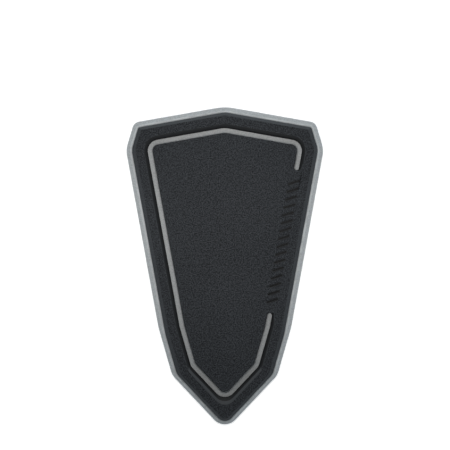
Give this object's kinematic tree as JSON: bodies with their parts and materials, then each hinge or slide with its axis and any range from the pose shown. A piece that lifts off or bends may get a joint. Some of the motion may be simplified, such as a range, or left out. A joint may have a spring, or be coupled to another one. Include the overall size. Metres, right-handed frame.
{
  "type": "motorcycle tank pad",
  "caption": "Shield-shaped stick-on tank protector: a black grained rubber layer with a chamfered edge and a C-shaped groove, on a larger grey layer that shows as its rim.",
  "frame": {"origin": "middle of the back face, where the pad sticks to the tank", "axes": "+Z out of the tank through the black face, +Y along the pad towards its broad end, +X across it to the side where the groove is open"},
  "size_m": [0.13, 0.21, 0.0046],
  "materials": {
    "black_rubber": "matt black rubber with a fine grain",
    "grey_rubber": "matt mid-grey rubber, nearly smooth",
    "adhesive_film": "translucent acrylic adhesive film, dull and tacky"
  },
  "bodies": {
    "root": {"adhesive_film": "adhesive_film", "grey_base": "grey_rubber", "black_cover": "black_rubber"}
  },
  "joints": []
}
